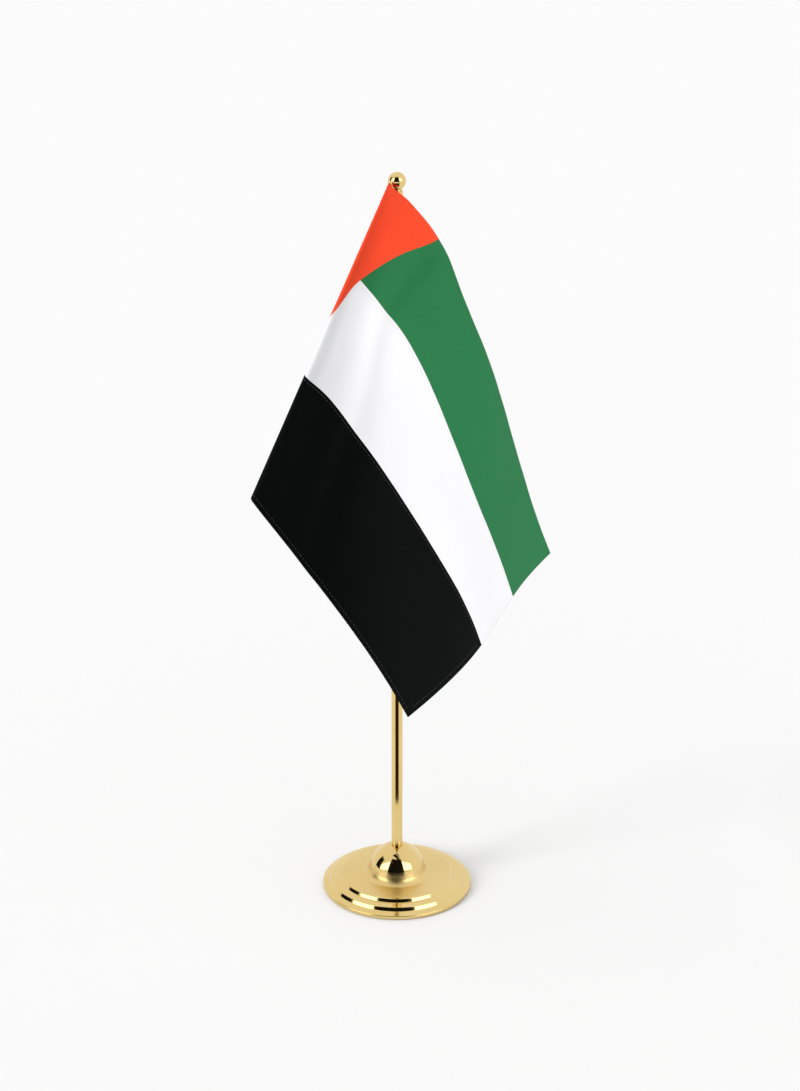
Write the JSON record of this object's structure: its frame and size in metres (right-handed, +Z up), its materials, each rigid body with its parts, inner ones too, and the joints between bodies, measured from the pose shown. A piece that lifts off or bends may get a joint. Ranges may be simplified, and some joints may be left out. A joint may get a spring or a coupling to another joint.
{
  "type": "desk flag stand",
  "caption": "Desk flag stand: weighted round base with a dome, a thin pole with a screwed ball finial, and a draped cloth flag on a sleeve that swivels.",
  "frame": {"origin": "on the pole's axis at the underside of the base's felt pad, where it rests on the desk", "axes": "+Z up along the pole; the draped flag's fly hangs towards -Y and +X"},
  "size_m": [0.1415, 0.1925, 0.3947],
  "materials": {
    "gold_base": "polished, gold plated",
    "gold_pole": "polished, gold plated",
    "gold_ball": "polished, gold plated",
    "weight_iron": "as cast",
    "felt": "pressed felt",
    "fastener_steel": "zinc plated",
    "insert_brass": "turned",
    "ring_rubber": "matte",
    "cloth_red": "satin",
    "cloth_green": "satin",
    "cloth_white": "satin",
    "cloth_black": "satin"
  },
  "bodies": {
    "stand": {"base_shell": "gold_base", "base_weight": "weight_iron", "felt_pad": "felt", "flat_washer": "fastener_steel", "spring_washer": "fastener_steel", "pole_bolt": "fastener_steel", "pole_tube": "gold_pole", "pole_insert_lower": "insert_brass", "pole_insert_upper": "insert_brass"},
    "ring": {"stop_ring": "ring_rubber"},
    "flag": {"flag_sleeve": "cloth_red", "hoist_panel_red": "cloth_red", "stripe_green": "cloth_green", "stripe_white": "cloth_white", "stripe_black": "cloth_black"},
    "stud": {"finial_stud": "fastener_steel"},
    "ball": {"finial_ball": "gold_ball"}
  },
  "joints": [
    {"name": "ring_slide", "type": "slide", "parent": "stand", "child": "ring", "axis": [0, 0, 1], "range_m": [-0.06, 0]},
    {"name": "flag_swivel", "type": "hinge", "parent": "ring", "child": "flag", "pos_m": [0, 0, 0.24], "axis": [0, 0, 1], "continuous": true},
    {"name": "finial_rise", "type": "slide", "parent": "stand", "child": "stud", "axis": [0, 0, 1], "range_m": [0, 0.008]},
    {"name": "finial_turn", "type": "hinge", "parent": "stud", "child": "ball", "pos_m": [0, 0, 0.3902], "axis": [0, 0, 1], "range_deg": [0, 5760]}
  ],
  "couplings": [
    {"joint": "finial_rise", "follows": "finial_turn", "m_per_rad": 0.000079577}
  ]
}
